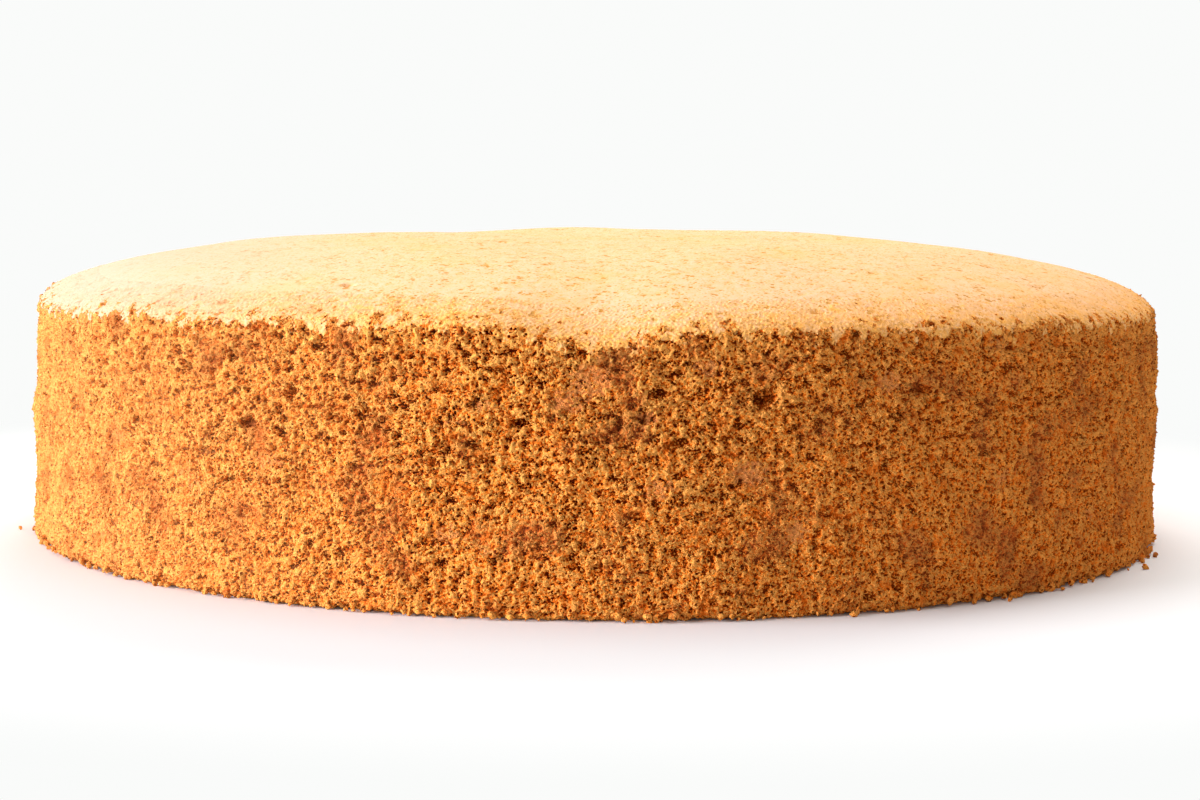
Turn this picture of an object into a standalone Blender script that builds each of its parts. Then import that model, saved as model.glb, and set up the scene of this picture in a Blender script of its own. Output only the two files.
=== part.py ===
"""Chocolate sponge cake: one plain round layer, baked in a 22 cm tin and cut loose.

The baked skin of the top is whole. It is nearly level over most of the cake, runs down over a
rounded shoulder and ends in a torn line. Under that line the knife has taken the crust away, so
the side is open crumb with crags and holes. The base is flat, with a ragged rim that lifts here
and there. The cake is one piece, so it is one solid.

Units are metres, with +Z up. The origin is the middle of the base, on the surface that the cake
stands on. -Y is the cake's front, where the skin hangs lowest.
"""

import math
import random

import bmesh
import bpy
from mathutils import Vector, noise

# Driving dimensions
CAKE_RADIUS = 0.110
SKIN_LINE_HEIGHT = 0.0438  # mean height of the torn line at which the top's skin ends
DOME_RISE = 0.0131  # from the skin line to the middle of the top
DOME_POWER = 4.0  # how late the top turns down: 2 is a bowl, 8 is nearly a flat disc
SHOULDER_ROUNDNESS = 1.4  # over 1, the top rounds over into the side

# The torn side
TOP_TAPER = 0.0013  # how much narrower the cake is just under the skin
TAPER_POWER = 6.0  # how late it narrows
FOOT_ROUNDING = 0.0014  # radius of the worn edge at the foot
LIP_OVERHANG = 0.0005  # how far the skin stands out over the crumb under it
LIP_DEPTH = 0.0010  # thickness of the skin at its torn edge
SIDE_WAVE = 0.0008  # slow bulges, about SIDE_WAVE_LENGTH apart
SIDE_WAVE_LENGTH = 0.045
CRAG_HEIGHT = 0.0011  # clumps of crumb, about CRAG_LENGTH apart
CRAG_LENGTH = 0.009
CRAG_MEAN = 0.45  # the rough noise's own mean, so that crags neither swell nor shrink the cake
HOLE_COUNT = 100
HOLE_RADIUS = (0.0022, 0.0040)
HOLE_DEPTH = (0.0006, 0.0016)
HOLE_HEIGHTS = (0.12, 0.93)  # lowest and highest, as shares of the skin line's height

# The skin line and the crown
LINE_WAVE = 0.0016  # slow rise and fall of the skin line
LINE_WAVE_LENGTH = 0.050
LINE_TILT = 0.0016  # how much higher it runs at the front than at the sides
LINE_TEETH = 0.0007  # its short teeth
LINE_TEETH_LENGTH = 0.010
TONGUE_DROP = 0.0028  # the tongue of skin that hangs lowest, at the front
TONGUE_WIDTH = 0.010
CROWN_WAVE = 0.0010  # the top's gentle swells, about CROWN_WAVE_LENGTH apart
CROWN_WAVE_LENGTH = 0.042
CROWN_DENT = 0.0005
CROWN_DENT_LENGTH = 0.018
CROWN_LEAN = 0.0003  # how much higher the top bakes on the right than on the left

# The base
RIM_LIFT = 0.0007  # how far the ragged rim lifts off the table
RIM_LENGTH = 0.016
RIM_WIDTH = 0.0050  # the base is truly flat inside this rim

# Fineness of the solid
TURNS = 168  # facets round the cake
SIDE_ROWS = 14
FOOT_CROWDING = 1.6  # over 1, the side's rows crowd towards the foot
CROWN_ROWS = 14
SHOULDER_CROWDING = 0.7  # over 0, the crown's rows crowd towards the shoulder
SEED = 7

CRUMB_BROWN = (0.45, 0.20, 0.065, 1.0)
MERGE_DISTANCE = 0.00002

# What follows from them
CRUMB_HEIGHT = SKIN_LINE_HEIGHT - LIP_DEPTH  # the open crumb's own height
LIP_RADIUS = CAKE_RADIUS - TOP_TAPER + LIP_OVERHANG

# Where each pattern reads the noise, so that no two are alike
SIDE_PLACE = Vector((3.1, 0.0, 0.0))
CRAG_PLACE = Vector((0.0, 8.3, 0.0))
LINE_PLACE = Vector((0.0, 0.0, 44.55))
TEETH_PLACE = Vector((12.4, 0.0, 0.0))
CROWN_PLACE = Vector((0.0, 27.44, 0.0))
DENT_PLACE = Vector((0.0, 0.0, 23.6))
RIM_PLACE = Vector((31.2, 0.0, 0.0))


def clear_scene():
    """Removes every object, so that the file holds only the cake."""
    for obj in list(bpy.data.objects):
        bpy.data.objects.remove(obj)


def dome_height(share):
    """Height of the crown over the skin line, at this share of the radius."""
    return DOME_RISE * (1.0 - share**DOME_POWER) ** (1.0 / SHOULDER_ROUNDNESS)


def side_radius(height):
    """Radius of the side at a height: narrower under the skin, and rounded in at the foot."""
    radius = CAKE_RADIUS - TOP_TAPER * (height / CRUMB_HEIGHT) ** TAPER_POWER
    if height < FOOT_ROUNDING:
        radius -= FOOT_ROUNDING - math.sqrt(FOOT_ROUNDING**2 - (FOOT_ROUNDING - height) ** 2)
    return radius


def profile():
    """Half section, as (radius, height): over the crown, down the side and in under the base."""
    points = []
    for row in range(CROWN_ROWS + 1):
        step = row / CROWN_ROWS
        share = step * (1.0 + SHOULDER_CROWDING * (1.0 - step))
        points.append((LIP_RADIUS * share, SKIN_LINE_HEIGHT + dome_height(share)))
    for row in range(SIDE_ROWS, -1, -1):
        height = CRUMB_HEIGHT * (row / SIDE_ROWS) ** FOOT_CROWDING
        points.append((side_radius(height), height))
    points.append((CAKE_RADIUS - FOOT_ROUNDING - RIM_WIDTH, 0.0))
    points.append((0.0, 0.0))
    return points


def turned(name, points):
    """The half section turned once round Z, as a mesh object."""
    half = bmesh.new()
    corners = [half.verts.new((radius, 0.0, height)) for radius, height in points]
    for start, end in zip(corners, corners[1:]):
        half.edges.new((start, end))
    mesh = bpy.data.meshes.new(name)
    half.to_mesh(mesh)
    half.free()
    obj = bpy.data.objects.new(name, mesh)
    screw = obj.modifiers.new("turn", "SCREW")
    screw.axis = "Z"
    screw.angle = math.tau
    screw.steps = TURNS
    screw.render_steps = TURNS
    screw.use_merge_vertices = True
    screw.merge_threshold = MERGE_DISTANCE
    return obj


def wave(point, place, length):
    """Smooth noise from -1 to 1 at a point, with features about this length apart."""
    return noise.noise(point / length + place, noise_basis="PERLIN_ORIGINAL")


def rough(point, place, length):
    """Noise of three octaves, for broken and torn surfaces."""
    return noise.turbulence(
        point / length + place, 3, False, noise_basis="PERLIN_ORIGINAL", amplitude_scale=0.5
    )


def skin_drop(around):
    """How far the skin line lies below its mean height, at a point on the cake's rim circle."""
    drop = LINE_WAVE * wave(around, LINE_PLACE, LINE_WAVE_LENGTH)
    drop += LINE_TEETH * wave(around, TEETH_PLACE, LINE_TEETH_LENGTH)
    drop += LINE_TILT * around.y / CAKE_RADIUS
    # The tongue's middle is the rim point nearest the front.
    if around.y < 0.0:
        drop += TONGUE_DROP * math.exp(-((around.x / TONGUE_WIDTH) ** 2))
    return drop


def seeded_holes():
    """Holes in the torn side, each as (middle, radius, depth)."""
    draw = random.Random(SEED)
    holes = []
    for _ in range(HOLE_COUNT):
        angle = draw.uniform(0.0, math.tau)
        height = draw.uniform(*HOLE_HEIGHTS) * SKIN_LINE_HEIGHT
        middle = Vector((CAKE_RADIUS * math.cos(angle), CAKE_RADIUS * math.sin(angle), height))
        holes.append((middle, draw.uniform(*HOLE_RADIUS), draw.uniform(*HOLE_DEPTH)))
    return holes


def hole_depth(point, holes):
    """How deep the side is pitted at a point: the deepest of the holes that reach it."""
    deepest = 0.0
    for middle, radius, depth in holes:
        near = (point - middle).length / radius
        if near < 1.0:
            deepest = max(deepest, depth * (1.0 - near * near))
    return deepest


def shape_crown(vert, share):
    """Gives the top its swells and dents, and hangs its edge from the skin line."""
    flat = Vector((vert.co.x, vert.co.y, 0.0))
    swell = CROWN_WAVE * wave(flat, CROWN_PLACE, CROWN_WAVE_LENGTH)
    swell += CROWN_DENT * wave(flat, DENT_PLACE, CROWN_DENT_LENGTH)
    swell += CROWN_LEAN * flat.x / CAKE_RADIUS
    drop = skin_drop(flat.normalized() * CAKE_RADIUS)
    vert.co.z += swell * (1.0 - share**DOME_POWER) - drop * share ** (2.0 * DOME_POWER)


def shape_side(vert, outward, holes):
    """Tears the side: slow bulges, crags and holes, between the skin line and the rim."""
    around = outward * CAKE_RADIUS
    share = vert.co.z / CRUMB_HEIGHT
    offset = SIDE_WAVE * wave(vert.co, SIDE_PLACE, SIDE_WAVE_LENGTH)
    offset += CRAG_HEIGHT * (rough(vert.co, CRAG_PLACE, CRAG_LENGTH) - CRAG_MEAN)
    offset -= hole_depth(vert.co, holes)
    vert.co += outward * offset
    # The rows follow the skin line above and the lifted rim below.
    lift = RIM_LIFT * max(0.0, wave(around, RIM_PLACE, RIM_LENGTH))
    vert.co.z += lift * (1.0 - share) ** 4 - skin_drop(around) * share**2


def weather(cake):
    """Turns the plain turned shape into a baked and torn one, and centres it on the origin."""
    holes = seeded_holes()
    flat_radius = CAKE_RADIUS - FOOT_ROUNDING - 0.5 * RIM_WIDTH
    for vert in cake.verts:
        radius = math.hypot(vert.co.x, vert.co.y)
        if vert.co.z > SKIN_LINE_HEIGHT - 0.5 * LIP_DEPTH:
            shape_crown(vert, min(1.0, radius / LIP_RADIUS))
        elif radius > flat_radius:
            shape_side(vert, Vector((vert.co.x, vert.co.y, 0.0)).normalized(), holes)
    xs = [vert.co.x for vert in cake.verts]
    ys = [vert.co.y for vert in cake.verts]
    middle = Vector((max(xs) + min(xs), max(ys) + min(ys), 0.0)) * 0.5
    bmesh.ops.translate(cake, verts=cake.verts, vec=-middle)


def flatten_base(cake):
    """Dissolves the fan of triangles in the middle of the base into one flat face."""
    hub = min(cake.verts, key=lambda vert: vert.co.length)
    bmesh.ops.dissolve_verts(cake, verts=[hub])


def crumb_material():
    """Dry, open chocolate crumb."""
    material = bpy.data.materials.new("chocolate_crumb")
    material.use_nodes = True
    shader = material.node_tree.nodes["Principled BSDF"]
    shader.inputs["Base Color"].default_value = CRUMB_BROWN
    shader.inputs["Roughness"].default_value = 0.95
    shader.inputs["Metallic"].default_value = 0.0
    return material


def build_sponge():
    """The whole cake, as one solid."""
    outline = turned("sponge_outline", profile())
    bpy.context.scene.collection.objects.link(outline)
    graph = bpy.context.evaluated_depsgraph_get()
    mesh = bpy.data.meshes.new_from_object(outline.evaluated_get(graph))
    bpy.data.objects.remove(outline)
    cake = bmesh.new()
    cake.from_mesh(mesh)
    bmesh.ops.remove_doubles(cake, verts=cake.verts, dist=MERGE_DISTANCE)
    flatten_base(cake)
    weather(cake)
    bmesh.ops.recalc_face_normals(cake, faces=cake.faces)
    cake.to_mesh(mesh)
    cake.free()
    mesh.name = "sponge"
    mesh.shade_smooth()
    mesh.materials.append(crumb_material())
    collection = bpy.data.collections.new("chocolate_sponge_cake")
    bpy.context.scene.collection.children.link(collection)
    collection.objects.link(bpy.data.objects.new("sponge", mesh))


clear_scene()
build_sponge()
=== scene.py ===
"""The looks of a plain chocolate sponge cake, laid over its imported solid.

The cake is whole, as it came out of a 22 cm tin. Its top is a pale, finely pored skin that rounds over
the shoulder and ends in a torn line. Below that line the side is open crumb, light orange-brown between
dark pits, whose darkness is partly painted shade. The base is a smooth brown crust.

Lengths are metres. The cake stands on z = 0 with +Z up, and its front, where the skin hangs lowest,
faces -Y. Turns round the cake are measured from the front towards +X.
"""

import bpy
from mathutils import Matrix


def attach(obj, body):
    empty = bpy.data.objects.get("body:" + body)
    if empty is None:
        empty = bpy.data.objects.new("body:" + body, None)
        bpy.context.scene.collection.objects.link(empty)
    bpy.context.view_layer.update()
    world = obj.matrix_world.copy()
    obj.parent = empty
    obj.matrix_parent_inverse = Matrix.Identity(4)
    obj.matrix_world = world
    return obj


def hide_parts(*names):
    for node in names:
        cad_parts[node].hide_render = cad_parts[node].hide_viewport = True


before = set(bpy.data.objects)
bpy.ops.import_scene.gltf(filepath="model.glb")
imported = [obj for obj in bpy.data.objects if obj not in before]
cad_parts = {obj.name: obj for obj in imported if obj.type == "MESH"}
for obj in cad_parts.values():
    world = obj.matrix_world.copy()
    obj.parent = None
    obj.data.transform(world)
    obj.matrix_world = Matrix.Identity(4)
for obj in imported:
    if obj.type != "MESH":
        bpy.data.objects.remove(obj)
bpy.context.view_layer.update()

import logging
import math
from dataclasses import dataclass, field
from enum import Enum
from typing import Sequence

import bmesh
import bpy
import numpy as np
from mathutils import Matrix, Vector, noise
from mathutils.bvhtree import BVHTree

Colour = tuple[float, float, float]
Range = tuple[float, float]
Socket = bpy.types.NodeSocket

log = logging.getLogger("chocolate_sponge_cake")

MM = 0.001
BLACK: Colour = (0.0, 0.0, 0.0)
NODE = "sponge"
BODY = "root"

# Driving dimensions, as on the solid
CAKE_RADIUS = 0.110
SKIN_LINE_HEIGHT = 0.0438
LINE_WAVE, LINE_WAVE_LENGTH, LINE_PLACE = 0.0016, 0.050, Vector((0.0, 0.0, 44.55))
LINE_TEETH, LINE_TEETH_LENGTH, TEETH_PLACE = 0.0007, 0.010, Vector((12.4, 0.0, 0.0))
LINE_TILT = 0.0016
TONGUE_DROP, TONGUE_WIDTH = 0.0028, 0.010

# The fine surface of the side
SECTORS = 9  # pieces that the side is modelled in
SECTOR_COLUMNS = 340
COLUMNS = SECTORS * SECTOR_COLUMNS
ROWS = 320
CELL = math.tau * CAKE_RADIUS / COLUMNS
TURNS = math.tau * np.arange(COLUMNS) / COLUMNS  # of the columns
HEART = Vector((0.0, 0.0, 0.024))  # the point inside the cake where each piece is closed

# Cavities and pressed patches that the front is known by: turn in degrees, then height, width and
# tallness in millimetres
CAVITIES = (
    (-50.3, 41.3, 2.7, 1.9), (-43.9, 28.5, 3.9, 0.9), (-34.2, 19.9, 1.8, 1.9), (-33.6, 40.0, 2.2, 1.9),
    (-27.3, 35.1, 2.7, 1.9), (-27.6, 39.3, 1.6, 1.6), (-22.9, 31.6, 1.7, 1.9), (-13.1, 27.5, 2.0, 1.9),
    (-15.8, 39.7, 1.2, 1.3), (-11.8, 31.7, 4.3, 1.1), (-14.2, 23.3, 2.4, 0.8), (-5.4, 30.3, 2.6, 1.3),
    (-10.6, 44.7, 2.0, 1.4), (-1.1, 43.3, 3.2, 1.6), (0.8, 39.6, 1.3, 1.6), (2.0, 32.1, 1.9, 1.9),
    (2.2, 42.0, 3.2, 0.8), (-8.5, 9.8, 2.3, 1.4), (-1.9, 15.3, 1.9, 1.1), (0.3, 9.0, 1.6, 1.3),
    (5.2, 33.9, 1.9, 1.1), (6.1, 28.3, 2.3, 1.3), (7.8, 45.9, 3.6, 1.3), (9.7, 41.4, 3.6, 0.9),
    (14.3, 35.7, 4.3, 3.3), (12.6, 35.3, 1.3, 1.9), (16.3, 39.2, 1.2, 1.3), (8.6, 16.8, 1.5, 1.4),
    (12.5, 4.4, 2.2, 1.4), (22.5, 13.7, 1.5, 1.6), (22.8, 10.8, 2.0, 0.9), (22.9, 1.9, 4.5, 1.1),
    (26.8, 32.6, 1.4, 1.6), (27.5, 36.5, 1.6, 1.3), (28.6, 32.8, 2.8, 0.8), (29.4, 43.8, 4.1, 1.1),
    (39.4, 38.8, 3.5, 1.6), (36.5, 25.9, 2.8, 1.4), (43.3, 16.4, 2.8, 1.9), (46.4, 43.5, 5.5, 1.3),
)
PRESSED = (
    (-0.5, 39.0, 6.5, 6.0), (-2.2, 35.5, 5.0, 4.5), (-12.6, 13.5, 5.5, 3.2), (-9.0, 11.2, 3.5, 2.2),
    (17.6, 13.8, 4.0, 4.6), (-11.8, 31.5, 3.6, 1.4), (12.3, 5.2, 2.6, 1.4), (9.5, 41.0, 5.0, 2.6),
    (26.0, 38.0, 4.0, 4.0), (4.4, 33.0, 4.0, 3.0),
)


class Piece(Enum):
    """The named pieces of the finished cake."""

    SIDE = "crumb_side"
    TOP = "top_skin"
    BASE = "base_crust"
    CLINGING = "clinging_crumbs"
    LOOSE = "loose_crumbs"


class Trace(Enum):
    """What the fine surface remembers at each point, for its colours."""

    RELIEF = "relief"  # 0 in a pit, 1 on a crest; as a colour it paints shade into the pits
    SKIN = "skin"  # 0 on crumb, 0.5 at the torn line, 1 on whole skin
    SMEAR = "smear"  # 1 where the crumb was pressed shut


# ------------------------------------------------------------------ fields of relief


def smooth_step(low: float, high: float, values: np.ndarray) -> np.ndarray:
    """0 below low, 1 above high, and a smooth rise between."""
    share = np.clip((values - low) / (high - low), 0.0, 1.0)
    return share * share * (3.0 - 2.0 * share)


@dataclass(frozen=True)
class Pits:
    """One kind of pit, scattered all over a sheet."""

    count: int
    radius: Range  # smallest and largest
    depth: float  # of the largest: a smaller one is as much shallower as it is narrower
    stretch: Range  # least and most that a pit is longer along the rows


@dataclass(frozen=True)
class Swell:
    """One kind of random swell, all over a sheet."""

    height: float  # standard deviation
    length: float  # from one to the next
    spread: float = 0.45  # how far lengths vary, as a share on a log scale
    stretch: float = 1.0  # how much longer they are along the rows


@dataclass
class Sheet:
    """A flat field of relief, one value to a cell, that joins up with itself at its edges."""

    rows: int
    columns: int
    cell: float
    seed: int
    draw: np.random.Generator = field(init=False)

    def __post_init__(self) -> None:
        """Starts the sheet's own seeded draws."""
        self.draw = np.random.default_rng(self.seed)

    def waves(self) -> tuple[np.ndarray, np.ndarray]:
        """How often each wave that the sheet can hold comes in a metre, down it and along it."""
        down, along = np.fft.fftfreq(self.rows, self.cell), np.fft.rfftfreq(self.columns, self.cell)
        return down[:, None], along[None, :]

    def grain(self, length: float, spread: float = 0.45, stretch: float = 1.0) -> np.ndarray:
        """Smooth random swells of one size.

        Args:
            length: Distance between swells.
            spread: How far sizes vary round that, as a share on a log scale.
            stretch: How much longer swells are along the rows than across them.

        Returns:
            The field, with mean 0 and standard deviation 1.
        """
        down, along = self.waves()
        waves = np.hypot(down, along * stretch) * length
        waves[0, 0] = 1e-9  # the level part, which has no logarithm
        weight = np.exp(-0.5 * (np.log(waves) / spread) ** 2)
        white = np.fft.rfft2(self.draw.standard_normal((self.rows, self.columns)))
        swells = np.fft.irfft2(white * weight, s=(self.rows, self.columns))
        return (swells - swells.mean()) / swells.std()

    def swells(self, kind: Swell) -> np.ndarray:
        """Swells of one kind, as heights."""
        return kind.height * self.grain(kind.length, kind.spread, kind.stretch)

    def soften(self, values: np.ndarray, reach: float) -> np.ndarray:
        """The field with what is finer than a reach smoothed away.

        Args:
            values: The field.
            reach: Standard deviation of the smoothing.

        Returns:
            The smoothed field.
        """
        down, along = self.waves()
        weight = np.exp(-2.0 * (math.pi * reach) ** 2 * (down**2 + along**2))
        return np.fft.irfft2(np.fft.rfft2(values) * weight, s=values.shape)

    def bowls(
        self, row: np.ndarray, column: np.ndarray, tall: np.ndarray, wide: np.ndarray, depth: np.ndarray
    ) -> np.ndarray:
        """Round-bottomed bowls, such as bubbles cut open.

        Args:
            row: Each bowl's middle down the sheet, in cells.
            column: Each bowl's middle along it, in cells.
            tall: Half of each bowl's size across the rows.
            wide: Half of its size along them.
            depth: Its depth.

        Returns:
            The deepest bowl's depth at each cell, and 0 outside them all.
        """
        reaches = (int(half.max() / self.cell) + 1 for half in (tall, wide))
        down, along = (np.arange(-reach, reach + 1) for reach in reaches)
        row, column, tall, wide, depth = (v[:, None, None] for v in (row, column, tall, wide, depth))
        near_row, near_column = np.floor(row) + down[:, None], np.floor(column) + along
        away = ((near_row - row) * self.cell / tall) ** 2
        away = away + ((near_column - column) * self.cell / wide) ** 2
        bowl = np.sqrt(np.clip(1.0 - away, 0.0, 1.0)) * depth
        inside = bowl > 0.0
        near = np.broadcast_arrays(near_row, near_column)
        near_row, near_column = (cells[inside].astype(int) for cells in near)
        sunk = np.zeros((self.rows, self.columns))
        np.maximum.at(sunk, (near_row % self.rows, near_column % self.columns), bowl[inside])
        return sunk

    def pits(self, kind: Pits) -> np.ndarray:
        """Bowls of one kind, scattered all over the sheet.

        Args:
            kind: Their number, sizes and shape.

        Returns:
            How deep the sheet is pitted.
        """
        row = self.draw.uniform(0, self.rows, kind.count)
        column = self.draw.uniform(0, self.columns, kind.count)
        tall = self.draw.uniform(*kind.radius, kind.count)
        wide = tall * self.draw.uniform(*kind.stretch, kind.count)
        return self.bowls(row, column, tall, wide, kind.depth * tall / kind.radius[1])

    def read(self, values: np.ndarray, row: np.ndarray, column: np.ndarray) -> np.ndarray:
        """The field between its cells.

        Args:
            values: The field.
            row: Places down the sheet, in cells.
            column: Places along it, in cells.

        Returns:
            The values there, by straight interpolation.
        """
        top, left = np.floor(row).astype(int), np.floor(column).astype(int)
        down, along = row - top, column - left
        top, left = top % self.rows, left % self.columns
        below, right = (top + 1) % self.rows, (left + 1) % self.columns
        upper = values[top, left] * (1 - along) + values[top, right] * along
        lower = values[below, left] * (1 - along) + values[below, right] * along
        return upper * (1 - down) + lower * down

    def ragged(self, values: np.ndarray, shift: float, length: float) -> np.ndarray:
        """The field with its shapes pulled out of true, so that no pit stays round.

        Args:
            values: The field.
            shift: How far a point is moved, as a standard deviation.
            length: Distance between one pull and the next.

        Returns:
            The pulled field.
        """
        rows, columns = np.mgrid[0 : self.rows, 0 : self.columns].astype(float)
        rows += self.grain(length) * shift / self.cell
        columns += self.grain(length) * shift / self.cell
        return self.read(values, rows, columns)


# ------------------------------------------------------------------ the solid's own surface


def at_turn(turn: float, radius: float, height: float = 0.0) -> Vector:
    """The place at a turn round the cake."""
    return Vector((radius * math.sin(turn), -radius * math.cos(turn), height))


@dataclass
class SolidGuide:
    """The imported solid's surface, read by rays, as the base that the fine relief stands on."""

    node: str = NODE
    ring_radius: float = 0.088  # the ring inside the cake that the side's rays start from
    ring_height: float = 0.024
    lowest_ray: float = math.radians(-57.0)
    highest_ray: float = math.radians(75.0)
    upward: float = 0.5  # a ray tilted less than this, in radians, doesn't reach the top
    ray_turns: int = 720
    ray_tilts: int = 220
    softening: float = 0.0012  # smooths the solid's facets away
    crown_reach: float = 0.104
    crown_step: float = 0.0013
    crown_start: float = 0.2  # height that the rays fall from on to the top
    tree: BVHTree = field(init=False)

    def __post_init__(self) -> None:
        """Indexes the solid's faces for ray casting."""
        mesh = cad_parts[self.node].data
        corners = [vert.co.copy() for vert in mesh.vertices]
        faces = [tuple(face.vertices) for face in mesh.polygons]
        self.tree = BVHTree.FromPolygons(corners, faces)

    def side_rays(self) -> tuple[np.ndarray, np.ndarray]:
        """Distances from the inner ring to the surface, all round and from foot to shoulder.

        Returns:
            The rays' tilts, and the distances, one row to a tilt and one column to a turn.
        """
        tilts = np.linspace(self.lowest_ray, self.highest_ray, self.ray_tilts)
        reach = np.zeros((self.ray_tilts, self.ray_turns))
        for column in range(self.ray_turns):
            outward = at_turn(math.tau * column / self.ray_turns, 1.0)
            start = outward * self.ring_radius
            start.z = self.ring_height
            for row, tilt in enumerate(tilts):
                ray = outward * math.cos(tilt) + Vector((0.0, 0.0, math.sin(tilt)))
                reach[row, column] = self.tree.ray_cast(start, ray)[3]
        return tilts, reach

    def softened(self, tilts: np.ndarray, reach: np.ndarray) -> np.ndarray:
        """Distances of the side's rays without the steps from facet to facet.

        Args:
            tilts: The rays' tilts.
            reach: The distances, one row to a tilt and one column to a turn.

        Returns:
            The smoothed distances.
        """
        waves = np.fft.rfftfreq(self.ray_turns, math.tau * CAKE_RADIUS / self.ray_turns)
        spectrum = np.fft.rfft(reach, axis=1) * np.exp(-2.0 * (math.pi * self.softening * waves) ** 2)
        smooth = np.fft.irfft(spectrum, n=self.ray_turns, axis=1)
        width = max(1, round(self.softening / (self.ring_height * (tilts[1] - tilts[0]))))
        weights = np.hanning(2 * width + 3)[1:-1]
        padded = np.pad(smooth, ((width, width), (0, 0)), mode="edge")
        return sum(padded[k : k + len(tilts)] * w for k, w in enumerate(weights / weights.sum()))

    def side(self, top_radius: float) -> tuple[np.ndarray, np.ndarray]:
        """The side's surface on an even grid, from under the foot to over the shoulder.

        Args:
            top_radius: Radius at which the grid ends on the top.

        Returns:
            The places, as rows x columns x 3, and each row's distance along the mean section.
        """
        tilts, reach = self.side_rays()
        smooth = self.softened(tilts, reach)
        mean = smooth.mean(axis=1)
        radius = self.ring_radius + mean * np.cos(tilts)
        height = self.ring_height + mean * np.sin(tilts)
        last = int(np.argmax((radius < top_radius) & (tilts > self.upward)))
        run = np.concatenate([[0.0], np.cumsum(np.hypot(np.diff(radius), np.diff(height)))])
        along = np.linspace(0.0, run[last], ROWS)
        tilt = np.interp(along, run, tilts)
        step = np.interp(tilt, tilts, np.arange(len(tilts)))
        low = np.minimum(step.astype(int), len(tilts) - 2)
        share = (step - low)[:, None]
        lines = smooth[low] * (1 - share) + smooth[low + 1] * share
        full = np.fft.irfft(np.fft.rfft(lines, axis=1), n=COLUMNS, axis=1) * (COLUMNS / self.ray_turns)
        flat = self.ring_radius + full * np.cos(tilt)[:, None]
        rise = self.ring_height + full * np.sin(tilt)[:, None]
        return np.stack([flat * np.sin(TURNS), -flat * np.cos(TURNS), rise], axis=-1), along

    def crown(self) -> tuple[Sheet, np.ndarray]:
        """Heights of the top on an even square grid.

        Returns:
            A sheet that covers the top, and the heights on it.
        """
        count = 2 * int(self.crown_reach / self.crown_step) + 1
        sheet = Sheet(count, count, self.crown_step, seed=0)
        line = (np.arange(count) - count // 2) * self.crown_step
        heights = np.zeros((count, count))
        down = Vector((0.0, 0.0, -1.0))
        for row, y in enumerate(line):
            for column, x in enumerate(line):
                inward = min(1.0, self.crown_reach / max(math.hypot(x, y), self.crown_step))
                start = Vector((x * inward, y * inward, self.crown_start))
                heights[row, column] = self.tree.ray_cast(start, down)[0].z
        return sheet, sheet.soften(heights, self.softening)


def skin_line(turn: np.ndarray) -> np.ndarray:
    """Height of the torn line at which the skin ends.

    Args:
        turn: Turns round the cake, from the front.

    Returns:
        The line's height at each.
    """
    heights = np.empty(len(turn))
    for index, angle in enumerate(turn):
        around = at_turn(angle, 1.0) * CAKE_RADIUS
        drop = LINE_WAVE * noise.noise(around / LINE_WAVE_LENGTH + LINE_PLACE)
        drop += LINE_TEETH * noise.noise(around / LINE_TEETH_LENGTH + TEETH_PLACE)
        drop += LINE_TILT * around.y / CAKE_RADIUS
        if around.y < 0.0:
            drop += TONGUE_DROP * math.exp(-((around.x / TONGUE_WIDTH) ** 2))
        heights[index] = SKIN_LINE_HEIGHT - drop
    return heights


# ------------------------------------------------------------------ mesh building


def to_mesh(shape: bmesh.types.BMesh, name: str) -> bpy.types.Mesh:
    """Turns a shape into a mesh and frees it.

    Args:
        shape: The shape.
        name: The mesh's name.

    Returns:
        The mesh.
    """
    mesh = bpy.data.meshes.new(name)
    shape.to_mesh(mesh)
    shape.free()
    return mesh


def add_object(name: str, data: bpy.types.ID) -> bpy.types.Object:
    """Puts a mesh, a light or a camera in the scene.

    Args:
        name: The object's name.
        data: What it shows.

    Returns:
        The object.
    """
    made = bpy.data.objects.new(name, data)
    bpy.context.scene.collection.objects.link(made)
    return made


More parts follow.
